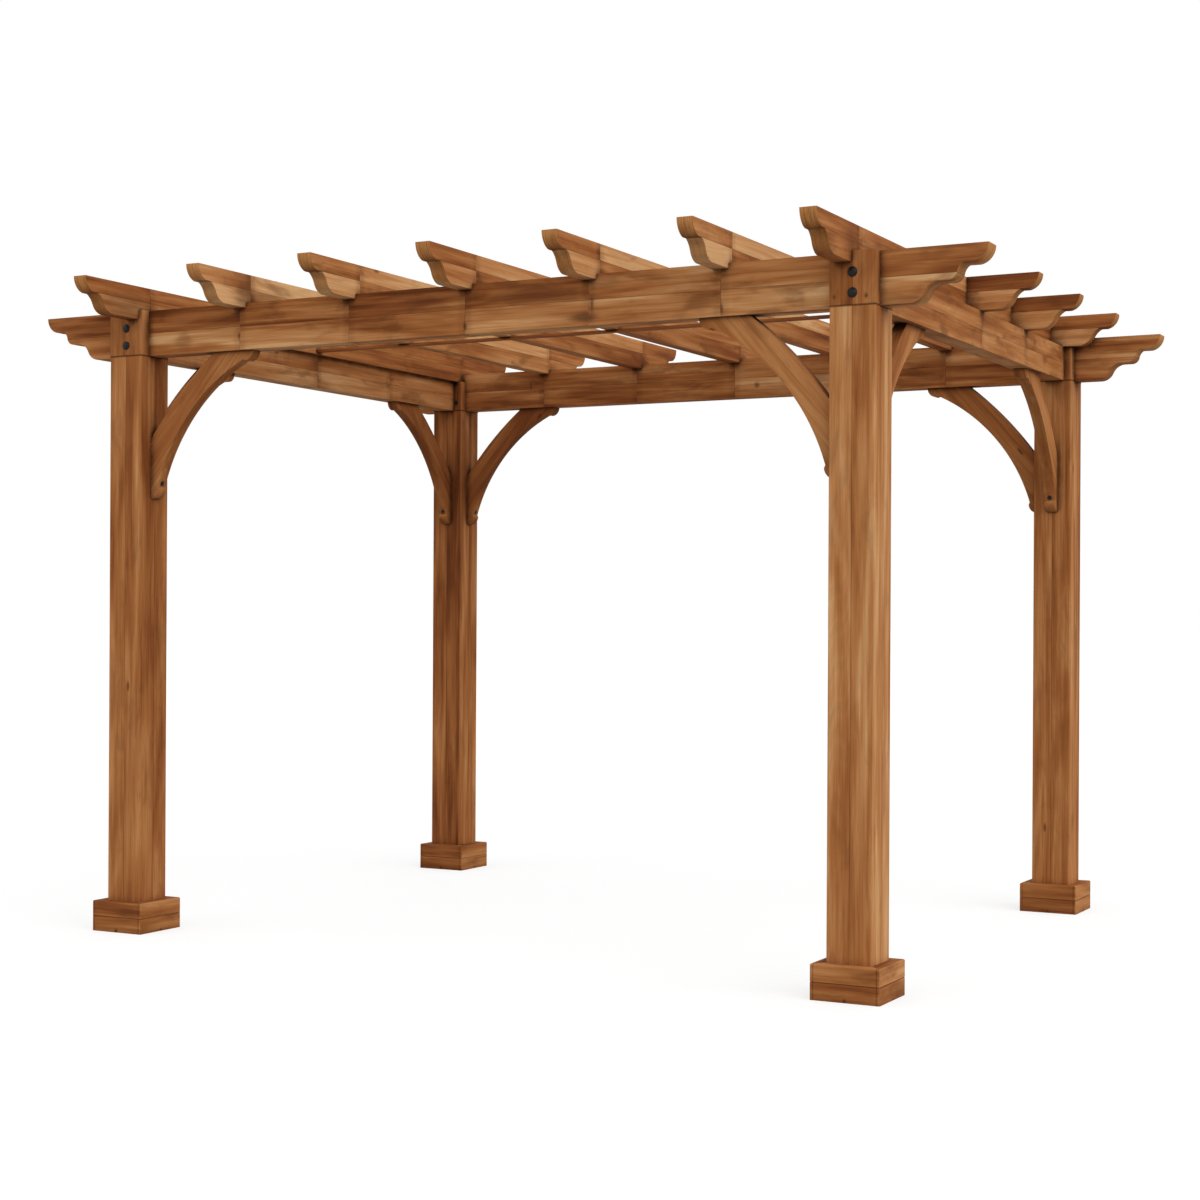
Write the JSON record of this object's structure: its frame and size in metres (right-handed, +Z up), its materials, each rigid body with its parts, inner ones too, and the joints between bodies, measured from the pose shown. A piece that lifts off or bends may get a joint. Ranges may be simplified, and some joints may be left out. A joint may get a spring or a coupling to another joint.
{
  "type": "wooden pergola",
  "caption": "Open timber pergola with scrolled rafter and beam ends, curved corner braces, short side outriggers and boxed post feet.",
  "frame": {"origin": "on the floor under the middle of the roof", "axes": "+X to the right along the front beam, +Y from the front to the back, +Z up"},
  "size_m": [3.436, 2.752, 2.234],
  "materials": {
    "timber": "satin"
  },
  "bodies": {
    "root": {"back_beam": "timber", "back_left_beam_block": "timber", "back_left_brace_along_beam": "timber", "back_left_brace_along_side": "timber", "back_left_post": "timber", "back_left_post_foot": "timber", "back_right_beam_block": "timber", "back_right_brace_along_beam": "timber", "back_right_brace_along_side": "timber", "back_right_post": "timber", "back_right_post_foot": "timber", "front_beam": "timber", "front_left_beam_block": "timber", "front_left_brace_along_beam": "timber", "front_left_brace_along_side": "timber", "front_left_post": "timber", "front_left_post_foot": "timber", "front_right_beam_block": "timber", "front_right_brace_along_beam": "timber", "front_right_brace_along_side": "timber", "front_right_post": "timber", "front_right_post_foot": "timber", "left_outrigger_1": "timber", "left_outrigger_2": "timber", "left_outrigger_3": "timber", "left_side_beam": "timber", "middle_batten": "timber", "rafter_1": "timber", "rafter_2": "timber", "rafter_3": "timber", "rafter_4": "timber", "rafter_5": "timber", "rafter_6": "timber", "rafter_7": "timber", "right_outrigger_1": "timber", "right_outrigger_2": "timber", "right_outrigger_3": "timber", "right_side_beam": "timber"}
  },
  "joints": []
}
